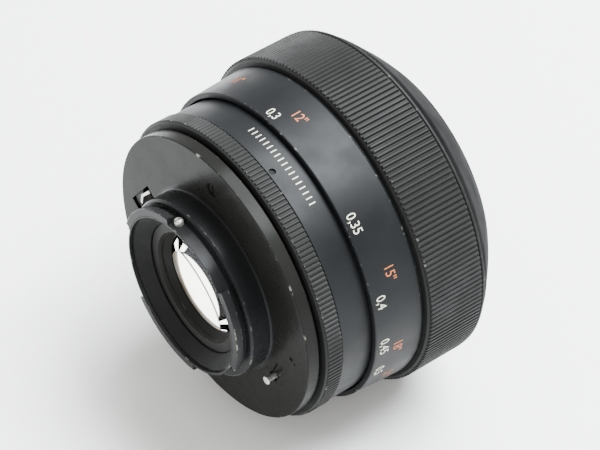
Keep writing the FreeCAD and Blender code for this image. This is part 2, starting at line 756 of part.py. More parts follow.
ring_part("front_cell", [
    (14.6, 29.0), (d.front_cell_radius, 29.0), (d.front_cell_radius, 38.6),
    (d.barrel_front_bore - 0.05, 38.6), (d.barrel_front_bore - 0.05, d.barrel_front),
    (18.6, d.barrel_front), (18.6, 34.6), (14.6, 34.6)])
ring_part("front_spacer", [(12.1, 26.4), (d.front_cell_radius, 26.4), (d.front_cell_radius, 28.9),
                           (14.3, 28.9), (14.3, 29.2), (12.1, 29.2)])

lens_part("lens_1", 18.5, 43.0, 60, 41.0, -32)
lens_part("lens_2", 14.5, 36.0, 40, 34.2, -24)
lens_part("lens_3", 12.0, 31.4, 30, 25.6, 45)
lens_part("lens_4", 9.5, 16.6, -30, 15.4, -20)
lens_part("lens_5", 9.5, 15.2, 20, 10.4, 24)
lens_part("lens_6", 10.2, 9.6, -60, 6.0, 22)
lens_part("lens_7", 11.6, 2.6, 80, -3.0, 50)

ring_part("rear_cell", [
    (d.rear_ring_radius, d.rear_cell_rear), (d.rear_cell_radius, d.rear_cell_rear),
    (d.rear_cell_radius, d.rear_cell_flange), (d.barrel_bore - 0.05, d.rear_cell_flange),
    (d.barrel_bore - 0.05, d.iris_rear), (9.6, d.iris_rear), (9.6, 11.2),
    (10.25, 11.2), (10.25, 5.0), (11.7, 4.0), (11.7, -1.6), (d.rear_ring_radius, -1.6)])
ring_part("rear_retaining_ring", [
    (d.rear_ring_mouth, d.rear_cell_rear), (d.rear_ring_radius, d.rear_cell_rear),
    (d.rear_ring_radius, -1.7), (11.6, -1.7), (d.rear_ring_throat, -1.92), (d.rear_ring_throat, -2.15),
    (d.rear_ring_mouth - 0.4, -3.4), (d.rear_ring_mouth - 0.4, -3.8)])

# ---------------------------------------------------------------- iris

blade_count = int(d.blade_count.value)
blade_clocks = [index * 360.0 / blade_count + 20 for index in range(blade_count)]
base = ring_part("iris_base", [
    (10.0, d.iris_rear), (d.barrel_bore - 0.05, d.iris_rear), (d.barrel_bore - 0.05, d.iris_front),
    (d.iris_wall, d.iris_front), (d.iris_wall, d.iris_floor), (10.0, d.iris_floor)])
cut_ring(base, "tab_window",
         box_corners(d.iris_wall - 0.5, 22, d.drive_ring_rear - 0.3,
                     d.drive_ring_rear + d.drive_ring_thickness + 0.3), 20, 266)
for index, clock in enumerate(blade_clocks):
    cylinder_feature(base, "Subtractive", f"pivot_hole_{index}", d.blade_pin + 0.05, 2,
                     forward_placement(d.blade_pivot_circle.value, clock, d.iris_rear.value + 0.2))
ring_part("iris_cover", box_corners(
    d.drive_ring_bore, d.barrel_bore - 0.05, d.iris_front, d.iris_front + 0.6))

half_swing = d.blade_swing.value / 2
arm = d.blade_arm.value


def blade_plate(clock, layer):
    """A crescent with a pivot boss and a drive arm, standing open, on its own layer."""
    station = d.iris_floor.value + 0.12 + layer * d.blade_pitch.value
    thickness = d.blade_thickness.value
    sector = turned_shape([
        (d.blade_inner.value, station), (d.blade_outer.value, station),
        (d.blade_outer.value, station + thickness), (d.blade_inner.value, station + thickness)])
    wedge = Part.makeCylinder(20, 4, Vector(0, station - 2, 0), Vector(0, 1, 0), 84)
    wedge.rotate(Vector(0, 0, 0), Vector(0, 1, 0), clock - 76 - 90)
    crescent = sector.common(wedge)
    pivot = spot(d.blade_pivot_circle.value, clock, station)
    lean = clock + half_swing
    tip = pivot + spot(arm, lean, 0)
    up = Vector(0, 1, 0)
    boss = Part.makeCylinder(0.75, thickness, pivot, up)
    strip = Part.makeBox(1.3, thickness, arm + 1.2, Vector(-0.65, 0, -1.2))
    strip.rotate(Vector(0, 0, 0), up, lean)
    strip.translate(pivot)
    end = Part.makeCylinder(0.65, thickness, tip, up)
    pin_floor = d.iris_rear.value + 0.3
    pin_foot = spot(d.blade_pivot_circle.value, clock, pin_floor)
    pivot_pin = Part.makeCylinder(d.blade_pin.value, station - pin_floor, pin_foot, up)
    drive_top = d.drive_ring_rear.value + d.drive_ring_thickness.value
    drive_pin = Part.makeCylinder(d.blade_pin.value, drive_top - station, tip, up)
    return crescent.fuse([boss, strip, end, pivot_pin, drive_pin]).removeSplitter()


for index, clock in enumerate(blade_clocks):
    solid_part(f"iris_blade_{index + 1}", blade_plate(clock, index))

drive_ring_front = d.drive_ring_rear + d.drive_ring_thickness
drive = ring_part("iris_drive_ring", box_corners(
    d.drive_ring_bore, d.drive_ring_radius, d.drive_ring_rear, drive_ring_front))
add_ring(drive, "drive_tab",
         box_corners(d.drive_ring_radius - 0.5, 24.2, d.drive_ring_rear, drive_ring_front), 4.4, 270)
pin_lead = math.degrees(math.atan2(arm * math.sin(math.radians(half_swing)),
                                   d.blade_pivot_circle.value + arm * math.cos(math.radians(half_swing))))
for index, clock in enumerate(blade_clocks):
    cut_ring(drive, f"drive_slot_{index}", box_corners(16.9, 18.5, 20, 24), 3.3, clock + pin_lead)

# ---------------------------------------------------------------- check and write

doc.recompute()
os.makedirs("parts", exist_ok=True)
for part in parts:
    for feature in [part] + part.OutListRecursive:
        if "Invalid" in feature.State or "Error" in feature.State:
            raise RuntimeError(f"{feature.Label}: {feature.State}")
    if part.Shape.isNull() or not part.Shape.isValid():
        raise RuntimeError(f"{part.Label}: bad shape")
    part.Shape.exportStep(f"parts/{part.Label}.step")
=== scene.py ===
import math

import bmesh
import bpy
import numpy as np
from mathutils import Matrix, Vector


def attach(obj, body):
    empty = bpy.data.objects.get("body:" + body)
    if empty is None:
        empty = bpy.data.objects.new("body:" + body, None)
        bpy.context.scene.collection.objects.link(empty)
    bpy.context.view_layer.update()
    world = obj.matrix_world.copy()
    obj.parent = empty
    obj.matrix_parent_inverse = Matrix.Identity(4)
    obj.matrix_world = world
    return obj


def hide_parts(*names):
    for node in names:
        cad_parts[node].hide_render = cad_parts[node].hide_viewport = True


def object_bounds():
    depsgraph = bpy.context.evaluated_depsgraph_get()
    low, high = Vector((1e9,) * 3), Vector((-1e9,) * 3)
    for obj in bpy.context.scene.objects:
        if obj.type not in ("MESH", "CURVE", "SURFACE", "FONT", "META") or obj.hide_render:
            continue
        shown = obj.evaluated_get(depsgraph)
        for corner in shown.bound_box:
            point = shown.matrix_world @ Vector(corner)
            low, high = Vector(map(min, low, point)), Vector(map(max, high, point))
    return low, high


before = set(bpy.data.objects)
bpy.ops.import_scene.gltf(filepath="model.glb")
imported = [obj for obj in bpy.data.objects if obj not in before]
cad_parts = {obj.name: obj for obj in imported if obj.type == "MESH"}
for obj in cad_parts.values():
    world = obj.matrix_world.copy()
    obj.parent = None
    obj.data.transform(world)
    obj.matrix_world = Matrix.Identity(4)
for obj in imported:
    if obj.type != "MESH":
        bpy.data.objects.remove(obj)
cad_box = [list(map(float, corner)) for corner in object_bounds()]

# Lens coordinates, in millimetres: r from the optical axis, s along it (0 at the mount face, positive
# toward the front glass) and clock, the angle in degrees from the top, clockwise seen from the rear.
MM = 0.001
RIBS = 200
TURN = [360.0 * step / 720 for step in range(720)]
CORNER_STEPS = 5
SMALL_STEPS = 48
ARC_STEPS = 24


def spot(r, clock, s):
    """The point of the frame at a radius, clock angle and station."""
    turn = np.radians(clock)
    return np.stack(np.broadcast_arrays(-r * np.sin(turn), -np.asarray(s, float), r * np.cos(turn)), -1) * MM


# ---------------------------------------------------------------- mesh tools

def finish_mesh(name, points, faces, body, slot, replaces=(), sharp=32, wear=None):
    """A named piece from points and faces, riding on a body; wear is a 0-1 value for each point."""
    mesh = bpy.data.meshes.new(name)
    mesh.from_pydata([tuple(p) for p in points], [], faces)
    mesh.validate()
    if wear is not None:
        layer = mesh.attributes.new("wear", "FLOAT", "POINT")
        layer.data.foreach_set("value", np.asarray(wear, dtype=np.float32))
    mesh.shade_smooth()
    mesh.set_sharp_from_angle(angle=math.radians(sharp))
    piece = bpy.data.objects.new(name, mesh)
    bpy.context.scene.collection.objects.link(piece)
    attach(piece, body)
    if replaces:
        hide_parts(*replaces)
    return piece


def rounded(corners, closed=True):
    """An outline with its corners rounded: corners are (r, s, radius, wear); returns (r, s, wear) rows."""
    rows = []
    count = len(corners)
    for index, (r, s, radius, wear) in enumerate(corners):
        here = np.array((r, s), float)
        if radius <= 0 or (not closed and index in (0, count - 1)):
            rows.append((r, s, wear))
            continue
        before = np.array(corners[index - 1][:2], float) - here
        after = np.array(corners[(index + 1) % count][:2], float) - here
        legs = np.linalg.norm(before), np.linalg.norm(after)
        reach = min(radius, legs[0] * 0.45, legs[1] * 0.45)
        start = here + before / legs[0] * reach
        end = here + after / legs[1] * reach
        guard = reach * 0.5
        rows.append((*(start + before / legs[0] * min(guard, legs[0] * 0.05)), 0.0))
        for step in range(CORNER_STEPS + 1):
            t = step / CORNER_STEPS
            point = (1 - t) ** 2 * start + 2 * t * (1 - t) * here + t * t * end
            rows.append((*point, wear))
        rows.append((*(end + after / legs[1] * min(guard, legs[1] * 0.05)), 0.0))
    return rows


def lathe(rows, clocks, closed_turn=True, closed_outline=True, dip=None):
    """Points, faces and wear of an outline turned round the axis. dip(row, clocks) lowers a row's radius."""
    rows = list(rows)
    clocks = np.asarray(clocks, float)
    points, wear = [], []
    for index, (r, s, w) in enumerate(rows):
        radius = np.full(len(clocks), r)
        station = np.full(len(clocks), s)
        if dip is not None:
            radius = radius - dip(index, clocks)
        points.append(spot(radius, clocks, station))
        wear.append(np.full(len(clocks), w))
    points = np.concatenate(points)
    wear = np.concatenate(wear)
    across = len(clocks)
    faces = []
    for i in range(len(rows) if closed_outline else len(rows) - 1):
        low, high = i * across, (i + 1) % len(rows) * across
        for j in range(across if closed_turn else across - 1):
            k = (j + 1) % across
            faces.append((low + j, low + k, high + k, high + j))
    if not closed_turn:
        faces.append([i * across for i in range(len(rows))])
        faces.append([i * across + across - 1 for i in reversed(range(len(rows)))])
    return points, faces, wear


def turned(name, corners, body, slot, replaces):
    """A ring turned from rounded corners."""
    points, faces, wear = lathe(rounded(corners), TURN)
    return finish_mesh(name, points, faces, body, slot, replaces, wear=wear)


def sector(corners, start, end, steps=60):
    """Points, faces and wear of part of a ring between two clock angles."""
    return lathe(rounded(corners), np.linspace(start, end, steps), closed_turn=False)


def merged(parts):
    """Several (points, faces, wear) as one."""
    points, faces, wear, base = [], [], [], 0
    for part_points, part_faces, part_wear in parts:
        points.append(part_points)
        faces += [[base + index for index in face] for face in part_faces]
        wear.append(part_wear)
        base += len(part_points)
    return np.concatenate(points), faces, np.concatenate(wear)


def placed(part, matrix):
    """(points, faces, wear) moved by a 4x4 in the frame."""
    points, faces, wear = part
    moved = np.array([matrix @ Vector(point) for point in points])
    return moved, faces, wear


def small_lathe(corners, matrix):
    """A small turned piece about its own Z axis; corners are (radius, height, rounding, wear) in mm."""
    rows = rounded(corners, closed=False)
    turn = np.radians(np.linspace(0, 360, SMALL_STEPS, endpoint=False))
    points, wear = [], []
    for r, h, w in rows:
        r = max(r, 1e-4)
        points.append(np.stack((r * np.cos(turn), r * np.sin(turn), np.full(SMALL_STEPS, h)), -1) * MM)
        wear.append(np.full(SMALL_STEPS, w))
    faces = []
    for i in range(len(rows) - 1):
        low, high = i * SMALL_STEPS, (i + 1) * SMALL_STEPS
        for j in range(SMALL_STEPS):
            k = (j + 1) % SMALL_STEPS
            faces.append((low + j, low + k, high + k, high + j))
    return placed((np.concatenate(points), faces, np.concatenate(wear)), matrix)


def axial(r, clock, s):
    """A frame placement whose Z axis runs along the optical axis, to the rear."""
    place = Vector(spot(r, clock, s).tolist())
    return Matrix.Translation(place) @ Matrix.Rotation(math.radians(-90), 4, "X")


def radial(r, clock, s):
    """A frame placement whose Z axis points away from the optical axis."""
    place = Vector(spot(r, clock, s).tolist())
    return Matrix.Translation(place) @ Matrix.Rotation(math.radians(-clock), 4, "Y")


def cut(piece, parts):
    """Subtracts closed shapes from a piece, one after another, and removes them."""
    tools = []
    for points, faces, _ in parts:
        mesh = bpy.data.meshes.new("cutter")
        mesh.from_pydata([tuple(p) for p in points], [], faces)
        work = bmesh.new()
        work.from_mesh(mesh)
        bmesh.ops.remove_doubles(work, verts=work.verts, dist=0.0005 * MM)
        bmesh.ops.holes_fill(work, edges=work.edges, sides=0)
        bmesh.ops.recalc_face_normals(work, faces=work.faces)
        work.to_mesh(mesh)
        work.free()
        tool = bpy.data.objects.new("cutter", mesh)
        bpy.context.scene.collection.objects.link(tool)
        tools.append(tool)
        modifier = piece.modifiers.new("cut", "BOOLEAN")
        modifier.operation = "DIFFERENCE"
        modifier.solver = "EXACT"
        modifier.object = tool
    graph = bpy.context.evaluated_depsgraph_get()
    result = bpy.data.meshes.new_from_object(piece.evaluated_get(graph))
    piece.modifiers.clear()
    used = [piece.data] + [tool.data for tool in tools]
    piece.data = result
    for tool in tools:
        bpy.data.objects.remove(tool)
    for mesh in used:
        bpy.data.meshes.remove(mesh)
    result.shade_smooth()
    result.set_sharp_from_angle(angle=math.radians(32))


def block(lengths, matrix):
    """A closed block growing from the origin of a placement; lengths in mm."""
    corners = np.array([(x, y, z) for x in (0, lengths[0]) for y in (0, lengths[1]) for z in (0, lengths[2])])
    faces = [(0, 1, 3, 2), (4, 6, 7, 5), (0, 4, 5, 1), (2, 3, 7, 6), (0, 2, 6, 4), (1, 5, 7, 3)]
    return placed((corners * MM, faces, np.zeros(8)), matrix)


def drum(radius, length):
    """The outline of a closed drum about Z for cutting holes."""
    return [(0, 0, 0, 0), (radius, 0, 0, 0), (radius, length, 0, 0), (0, length, 0, 0)]


# ---------------------------------------------------------------- materials

class Nodes:
    """Builds one node material."""

    def __init__(self, name):
        self.material = bpy.data.materials.new(name)
        self.material.use_nodes = True
        self.tree = self.material.node_tree
        self.tree.nodes.clear()
        self.output = self.tree.nodes.new("ShaderNodeOutputMaterial")
        self.shader = self.tree.nodes.new("ShaderNodeBsdfPrincipled")
        self.link(self.shader.outputs[0], self.output.inputs["Surface"])
        place = self.tree.nodes.new("ShaderNodeTexCoord")
        self.place = place.outputs["Object"]

    def link(self, source, target):
        self.tree.links.new(source, target)

    def set(self, **values):
        for name, value in values.items():
            self.shader.inputs[name.replace("_", " ")].default_value = value

    def noise(self, scale, detail=4.0, rough=0.55, stretch=None):
        node = self.tree.nodes.new("ShaderNodeTexNoise")
        node.inputs["Scale"].default_value = scale
        node.inputs["Detail"].default_value = detail
        node.inputs["Roughness"].default_value = rough
        source = self.place
        if stretch:
            mapping = self.tree.nodes.new("ShaderNodeMapping")
            mapping.inputs["Scale"].default_value = stretch
            self.link(self.place, mapping.inputs["Vector"])
            source = mapping.outputs[0]
        self.link(source, node.inputs["Vector"])
        return node.outputs["Fac"]

    def ramp(self, source, low, high, start, end):
        """Maps source from low-high to start-end, smoothly and clamped."""
        node = self.tree.nodes.new("ShaderNodeMapRange")
        node.interpolation_type = "SMOOTHSTEP"
        for key, value in (("From Min", low), ("From Max", high), ("To Min", start), ("To Max", end)):
            node.inputs[key].default_value = value
        self.link(source, node.inputs["Value"])
        return node.outputs["Result"]

    def math(self, operation, first, second):
        node = self.tree.nodes.new("ShaderNodeMath")
        node.operation = operation
        for socket, value in zip(node.inputs, (first, second)):
            if isinstance(value, (int, float)):
                socket.default_value = value
            else:
                self.link(value, socket)
        return node.outputs[0]

    def mix(self, factor, first, second):
        """Mixes two colours; each is a tuple or a socket."""
        node = self.tree.nodes.new("ShaderNodeMix")
        node.data_type = "RGBA"
        self.link(factor, node.inputs[0])
        for socket, value in ((node.inputs[6], first), (node.inputs[7], second)):
            if isinstance(value, tuple):
                socket.default_value = (*value, 1.0)
            else:
                self.link(value, socket)
        return node.outputs[2]

    def bump(self, height, strength, distance):
        node = self.tree.nodes.new("ShaderNodeBump")
        node.inputs["Strength"].default_value = strength
        node.inputs["Distance"].default_value = distance
        self.link(height, node.inputs["Height"])
        self.link(node.outputs[0], self.shader.inputs["Normal"])

    def attribute(self, name):
        node = self.tree.nodes.new("ShaderNodeAttribute")
        node.attribute_name = name
        return node.outputs["Fac"]


WORN_METAL = (0.26, 0.25, 0.22)


def black_finish(name, dark, light, rough, bump=0.05, worn=0.62, gloss=0.1):
    """Black-finished metal: faint mottling, fine grain, and bright metal where an edge is worn through."""
    n = Nodes(name)
    mottle = n.noise(55.0, 5.0)
    colour = n.mix(n.ramp(mottle, 0.35, 0.68, 0.0, 1.0), dark, light)
    patch = n.noise(420.0, 6.0, 0.7)
    wear = n.math("MULTIPLY", n.attribute("wear"), n.ramp(patch, worn - 0.16, worn, 0.0, 1.0))
    n.link(n.mix(wear, colour, WORN_METAL), n.shader.inputs["Base Color"])
    n.link(n.math("MULTIPLY", wear, 0.85), n.shader.inputs["Metallic"])
    smear = n.noise(140.0, 4.0)
    n.link(n.ramp(smear, 0.3, 0.7, rough - 0.05, rough + 0.07), n.shader.inputs["Roughness"])
    n.bump(n.noise(2600.0, 3.0, 0.6), bump, 0.00004)
    n.set(Specular_IOR_Level=gloss)
    return n.material


def bright_metal(name, tone, rough):
    """Bare machined metal with fine streaks and dull spots."""
    n = Nodes(name)
    spots = n.noise(700.0, 4.0)
    colour = n.mix(n.ramp(spots, 0.35, 0.7, 0.0, 1.0), tone, tuple(part * 0.6 for part in tone))
    n.link(colour, n.shader.inputs["Base Color"])
    n.set(Metallic=0.8)
    n.link(n.ramp(n.noise(2400.0, 3.0), 0.3, 0.7, rough - 0.08, rough + 0.1), n.shader.inputs["Roughness"])
    n.bump(n.noise(1800.0, 3.0, 0.6, (1.0, 0.1, 1.0)), 0.12, 0.00003)
    return n.material


def paint(name, tone):
    """Filled paint of engraved figures, slightly uneven."""
    n = Nodes(name)
    patch = n.noise(900.0, 4.0)
    n.link(n.mix(n.ramp(patch, 0.3, 0.75, 0.0, 1.0), tone, tuple(part * 0.72 for part in tone)),
           n.shader.inputs["Base Color"])
    n.link(n.ramp(patch, 0.3, 0.7, 0.5, 0.7), n.shader.inputs["Roughness"])
    return n.material


def coated_glass(name, tint):
    """Clear glass with a coating that weakens and tints its reflections, and a trace of dust."""
    n = Nodes(name)
    n.set(IOR=1.13, Transmission_Weight=1.0)
    n.shader.inputs["Specular Tint"].default_value = (*tint, 1.0)
    dust = n.noise(900.0, 5.0, 0.7)
    n.link(n.ramp(dust, 0.66, 0.9, 0.0, 0.04), n.shader.inputs["Roughness"])
    n.link(n.mix(n.ramp(n.noise(60.0), 0.3, 0.7, 0.0, 1.0), (0.99, 0.985, 0.96), (0.97, 0.985, 0.99)),
           n.shader.inputs["Base Color"])
    return n.material


M_PLATE = black_finish("plate_finish", (0.0080, 0.0082, 0.0075), (0.0108, 0.0110, 0.0100), 0.25,
                       bump=0.03, worn=0.73, gloss=0.034)
M_TUBE = black_finish("bayonet_finish", (0.0095, 0.0098, 0.0104), (0.0140, 0.0143, 0.0150), 0.25,
                      bump=0.03, worn=0.69, gloss=0.052)
M_BARREL = black_finish("barrel_finish", (0.0052, 0.0058, 0.0066), (0.0078, 0.0086, 0.0096), 0.42,
                        bump=0.06, worn=0.73)
M_RIBS = black_finish("grip_finish", (0.0080, 0.0084, 0.0080), (0.0120, 0.0125, 0.0118), 0.5,
                      bump=0.16, worn=0.72)
M_BEVEL = black_finish("bevel_finish", (0.0024, 0.0025, 0.0026), (0.0036, 0.0037, 0.0038), 0.6,
                       bump=0.08, worn=0.8, gloss=0.02)
M_MATT = black_finish("matt_black_finish", (0.003, 0.003, 0.003), (0.0055, 0.0055, 0.0053), 0.6,
                      bump=0.2, gloss=0.12)
M_SCREW = black_finish("screw_finish", (0.006, 0.006, 0.006), (0.012, 0.012, 0.012), 0.35, gloss=0.2)
M_SILVER = bright_metal("bright_steel_finish", (0.60, 0.60, 0.56), 0.34)
M_BRASS = bright_metal("brass_finish", (0.34, 0.24, 0.1), 0.35)
M_BLADE = bright_metal("blade_finish", (0.03, 0.03, 0.034), 0.35)
M_RETAINER = black_finish("retainer_finish", (0.0055, 0.0055, 0.0049), (0.0085, 0.0084, 0.0075), 0.5,
                          bump=0.1, worn=0.72, gloss=0.10)
M_WHITE = paint("cream_figures", (0.62, 0.61, 0.48))
M_ORANGE = paint("orange_figures", (0.40, 0.105, 0.018))
M_GLASS = coated_glass("coated_glass_finish", (0.86, 0.70, 1.0))


def dress(piece, material):
    """Gives a piece its material."""
    piece.data.materials.clear()
    piece.data.materials.append(material)
    return piece


# ---------------------------------------------------------------- mount plate

SCREW_CLOCKS = (1.7, 181.7, 241.7)


def box_section(inner, outer, rear, front):
    """The square-cornered outline of a ring between two radii and two stations."""
    return [(inner, rear, 0, 0), (outer, rear, 0, 0), (outer, front, 0, 0), (inner, front, 0, 0)]


plate = turned("mount_plate", [
    (19.8, 0, 0, 0), (30.3, 0, 0.22, 1.0), (30.3, 2.7, 0.15, 0.6), (19.8, 2.7, 0, 0)],
    "mount_barrel", "plate_black", ["flange_plate"])
window_corner = Matrix.Translation(spot(26.7, -87.9, -1).tolist())
window_lean = Matrix.Rotation(math.radians(180), 4, "Z") @ Matrix.Rotation(math.radians(36.1), 4, "Y")
cutters = [
    block((4.6, 3.0, 9.4), window_corner @ window_lean),
    sector(box_section(20.6, 27.1, 0.35, 4), -105.0, -61.0),
    sector(box_section(21.4, 23.4, -1, 4), 107.1, 121.7),
    sector(box_section(20.7, 24.3, 0.35, 4), 97.5, 131.5),
    small_lathe(drum(0.45, 2.2), axial(25.05, 93.3, 1.2)),
    small_lathe(drum(0.28, 2.2), axial(26.2, 94.5, 1.2)),
]
cutters += [small_lathe(drum(1.45, 3), axial(24.4, clock, 1.1)) for clock in SCREW_CLOCKS]
cut(plate, cutters)
dress(plate, M_PLATE)

# ---------------------------------------------------------------- bayonet tube

tube = [lathe(rounded([
    (16.63, -7.75, 0.10, 0.7), (17.1, -7.75, 0.12, 0.8), (17.1, -4.73, 0.1, 0), (18.6, -4.73, 0.06, 0.1),
    (18.95, -4.38, 0.12, 0.5), (18.95, -0.25, 0.1, 0), (19.25, 0.0, 0, 0), (19.78, 0.0, 0, 0),
    (19.78, 2.7, 0, 0), (16.63, 2.7, 0, 0)]), TURN)]
for middle in (-41.0, 79.0, 199.0):
    tube.append(sector([
        (16.9, -7.75, 0, 0), (18.45, -7.75, 0.15, 1.0), (18.45, -6.2, 0.12, 1.0), (16.9, -6.2, 0, 0)],
        middle - 30.5, middle + 30.5, 120))
tube_points, tube_faces, tube_wear = merged(tube)
bayonet = finish_mesh("bayonet", tube_points, tube_faces, "mount_barrel", "bayonet_black", ["bayonet_tube"],
                      wear=tube_wear)
dress(bayonet, M_TUBE)

baffle = turned("light_baffle", [
    (16.3, -7.0, 0.05, 0), (16.6, -7.0, 0, 0), (16.6, -3.0, 0, 0), (13.9, -3.0, 0, 0), (13.9, -4.7, 0.05, 0)],
    "mount_barrel", "matt_black", ["rear_light_baffle"])
dress(baffle, M_MATT)

stop_screw_place = radial(17.05, -6.2, -5.95)
stop_screw = finish_mesh("stop_screw", *small_lathe([
    (0, 1.25, 0, 0), (0.65, 1.2, 0.12, 0), (0.9, 0.95, 0.12, 0), (0.9, 0, 0, 0), (0, 0, 0, 0)],
    stop_screw_place)[:2], "mount_barrel", "bright_steel", ["bayonet_stop_screw"])
slot_corner = Matrix.Translation(Vector((-0.1, -1.0, 0.95)) * MM)
cut(stop_screw, [block((0.2, 2.0, 0.65), stop_screw_place @ slot_corner)])
dress(stop_screw, M_SILVER)

# ---------------------------------------------------------------- rings of the barrel

def groove(clocks):
    """0 on a rib's crest and 1 on the floor between ribs, with rounded flanks."""
    phase = (np.asarray(clocks) * RIBS / 360.0) % 1.0
    away = np.abs(phase - 0.5) * 2
    flank = np.clip((away - 0.28) / 0.56, 0, 1)
    return 0.5 - 0.5 * np.cos(math.pi * flank)


RIB_CLOCKS = np.arange(RIBS * 12) * 360.0 / (RIBS * 12)


def ribbed_ring(name, corners, ribbed_rows, depth, body, slot, replaces, is_ribbed=None):
    """A ring whose outer rows between two stations dip into grooves."""
    rows = rounded(corners)
    low, high = ribbed_rows
    floor = max(row[0] for row in rows) - depth

    def dip(index, clocks):
        r, s, _ = rows[index]
        if r <= floor or not low <= s <= high:
            return np.zeros(len(clocks))
        amount = depth * groove(clocks)
        if is_ribbed is not None:
            amount = amount * is_ribbed(clocks)
        return np.minimum(amount, r - floor)

    points, faces, wear = lathe(rows, RIB_CLOCKS, dip=dip)
    crest = np.tile(1.0 - groove(RIB_CLOCKS), len(rows))
    return finish_mesh(name, points, faces, body, slot, replaces, 40, wear * crest)


def aperture_ribbed(clocks):
    """1 where the aperture ring is ribbed, 0 on its pad and under its figures."""
    turn = np.asarray(clocks) % 360
    pad = (turn > 308) & (turn < 336)
    scale = (turn > 126) & (turn < 202)
    return np.where(pad | scale, 0.0, 1.0)


aperture = ribbed_ring("aperture_control_ring", [
    (28.8, 3.4, 0, 0), (31.3, 3.4, 0.05, 0), (31.5, 3.75, 0.05, 0), (31.8, 3.8, 0.12, 1.0),
    (31.8, 7.1, 0.12, 0.5), (28.8, 7.1, 0, 0)], (3.6, 7.2), 0.27, "aperture_ring", "barrel_black",
    ["aperture_ring"], aperture_ribbed)
dress(aperture, M_RIBS)

index_barrel = turned("index_barrel", [
    (28.5, 7.3, 0, 0), (31.5, 7.3, 0.15, 0.5), (31.5, 16.0, 0.2, 0.2), (30.3, 16.0, 0, 0),
    (30.3, 9.4, 0, 0), (28.5, 9.4, 0, 0)], "mount_barrel", "barrel_black", ["index_ring"])
cut(index_barrel, [small_lathe(drum(0.7, 3), radial(30.2, clock, 8.3)) for clock in (15.8, 135.8, 255.8)])
dress(index_barrel, M_BARREL)

sleeve = turned("scale_sleeve", [
    (31.9, 14.1, 0, 0), (32.9, 14.1, 0.28, 0.9), (33.5, 24.75, 0.12, 0.9), (33.2, 25.0, 0, 0.3),
    (33.2, 25.5, 0, 0), (29.9, 25.5, 0, 0), (29.9, 17.0, 0, 0), (31.9, 17.0, 0, 0)],
    "focus_ring", "barrel_black", ["focus_sleeve"])
dress(sleeve, M_BARREL)

grip = ribbed_ring("ribbed_grip", [
    (29.9, 25.5, 0, 0), (34.3, 25.5, 0.05, 0), (34.7, 25.8, 0.05, 0), (35.2, 25.9, 0.25, 0.6),
    (35.2, 38.35, 0.2, 0.3), (34.85, 38.5, 0.05, 0), (34.85, 38.6, 0.05, 0), (35.1, 38.7, 0.12, 0.5),
    (35.1, 39.2, 0.15, 0.3), (33.9, 39.2, 0, 0), (33.9, 27.2, 0, 0), (29.9, 27.2, 0, 0)],
    (25.7, 38.55), 0.42, "focus_ring", "grip_black", ["focus_grip"])
dress(grip, M_RIBS)

THREAD_PITCH = 0.75
filter_thread = []
for turn in range(4):
    crest = 47.0 - THREAD_PITCH * turn
    filter_thread += [
        (24.5, crest, 0.04, 0.1), (24.5, crest - 0.15, 0.04, 0.1), (24.85, crest - 0.45, 0.05, 0)]

bezel = turned("front_bevel", [
    (32.3, 30.0, 0, 0), (33.5, 30.0, 0, 0), (33.5, 39.4, 0, 0), (34.55, 39.4, 0.15, 0.3),
    (33.9, 40.6, 0.8, 0), (29.4, 44.9, 2.0, 0), (26.5, 47.2, 0.5, 0), (26.0, 47.4, 0.2, 0.5),
    (24.8, 47.4, 0.1, 0.5), (24.5, 47.1, 0, 0), *filter_thread, (24.5, 43.95, 0, 0), (24.5, 43.3, 0, 0),
    (24.2, 43.3, 0, 0), (24.2, 40.4, 0, 0), (26.7, 40.4, 0, 0), (26.7, 35.0, 0, 0), (32.3, 35.0, 0, 0)],
    "lens_barrel", "barrel_black", ["front_bezel"])
dress(bezel, M_BEVEL)

name_plate = turned("front_name_ring", [
    (18.7, 40.6, 0, 0), (24.15, 40.6, 0, 0), (24.15, 43.2, 0.1, 0), (23.4, 43.2, 0.1, 0.4),
    (23.25, 42.85, 0.05, 0), (20.55, 41.95, 0.05, 0), (20.35, 42.05, 0.08, 0.4), (19.9, 41.85, 0.08, 0.4),
    (19.8, 41.65, 0.05, 0), (18.7, 41.4, 0.1, 0.4)], "lens_barrel", "barrel_black", ["name_ring"])
dress(name_plate, M_BEVEL)

# ---------------------------------------------------------------- levers and pins on the mount

pin = finish_mesh("meter_coupling_pin", *small_lathe([
    (0, 5.8, 0, 0), (0.80, 5.8, 0.1, 0), (0.92, 5.65, 0.06, 0), (0.92, 5.4, 0.08, 0), (0.6, 5.25, 0.05, 0),
    (0.6, 0.6, 0, 0), (0.92, 0.6, 0, 0), (0.92, 0, 0, 0), (0, 0, 0, 0)],
    axial(22.4, 118.9, 3.75))[:2], "iris_cam", "bright_steel", ["meter_pin"])
dress(pin, M_SILVER)
cover = finish_mesh("pin_slot_cover", *sector([
    (21.0, 0.45, 0.05, 0), (24.0, 0.45, 0.05, 0), (24.0, 0.85, 0.05, 0), (21.0, 0.85, 0.05, 0)],
    106.9, 130.3)[:2], "iris_cam", "plate_black")
dress(cover, M_PLATE)

# ---------------------------------------------------------------- glass

def arc_rows(vertex, curve, rim, outward):
    """Rows of a spherical surface from the axis out to the rim; a positive curve bulges outward."""
    rows = []
    for step in range(ARC_STEPS + 1):
        r = rim * step / ARC_STEPS
        sag = abs(curve) - math.sqrt(curve * curve - r * r)
        rows.append((max(r, 1e-3), vertex - outward * math.copysign(sag, curve), 0.0))
    return rows


def glass_block(name, rim, front, front_curve, rear, rear_curve, replaces):
    """One solid of glass between two spherical surfaces."""
    rows = arc_rows(rear, rear_curve, rim, -1) + arc_rows(front, front_curve, rim, 1)[::-1]
    points, faces, wear = lathe(rows, TURN[::4], closed_outline=False)
    piece = finish_mesh(name, points, faces, "lens_barrel", "coated_glass", replaces, 30)
    return dress(piece, M_GLASS)


